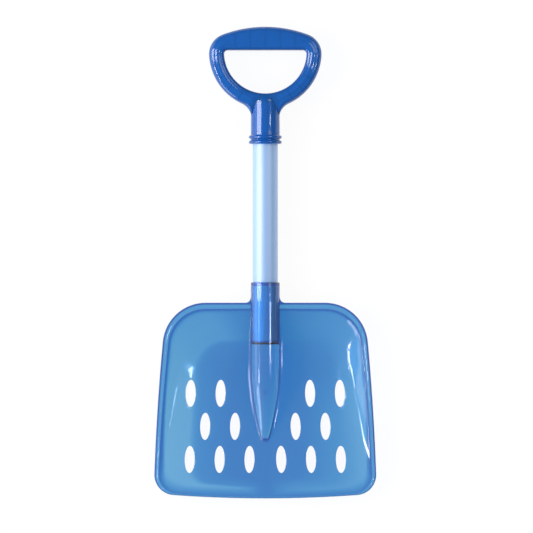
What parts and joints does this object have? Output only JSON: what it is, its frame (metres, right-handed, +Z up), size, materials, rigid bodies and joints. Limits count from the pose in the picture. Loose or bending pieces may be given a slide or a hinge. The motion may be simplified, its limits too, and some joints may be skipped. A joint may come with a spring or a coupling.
{
  "type": "sand shovel",
  "caption": "Child's sand shovel with a wide clear scoop, drain holes, a straight tube shaft and a D-shaped hand grip.",
  "frame": {"origin": "on the surface the shovel lies on, under the middle of its length and width", "axes": "+Y along the shaft from the lip to the grip, +Z up out of the open face of the scoop, X across"},
  "size_m": [0.222, 0.4716, 0.0332],
  "materials": {
    "blade_plastic": "clear mid blue, polished",
    "grip_plastic": "clear deeper blue, polished",
    "tube_coat": "pale blue, smooth satin gloss",
    "screw_steel": "zinc plated"
  },
  "bodies": {
    "root": {"blade": "blade_plastic", "shaft_tube": "tube_coat", "grip": "grip_plastic", "blade_screw": "screw_steel", "grip_screw": "screw_steel"}
  },
  "joints": []
}
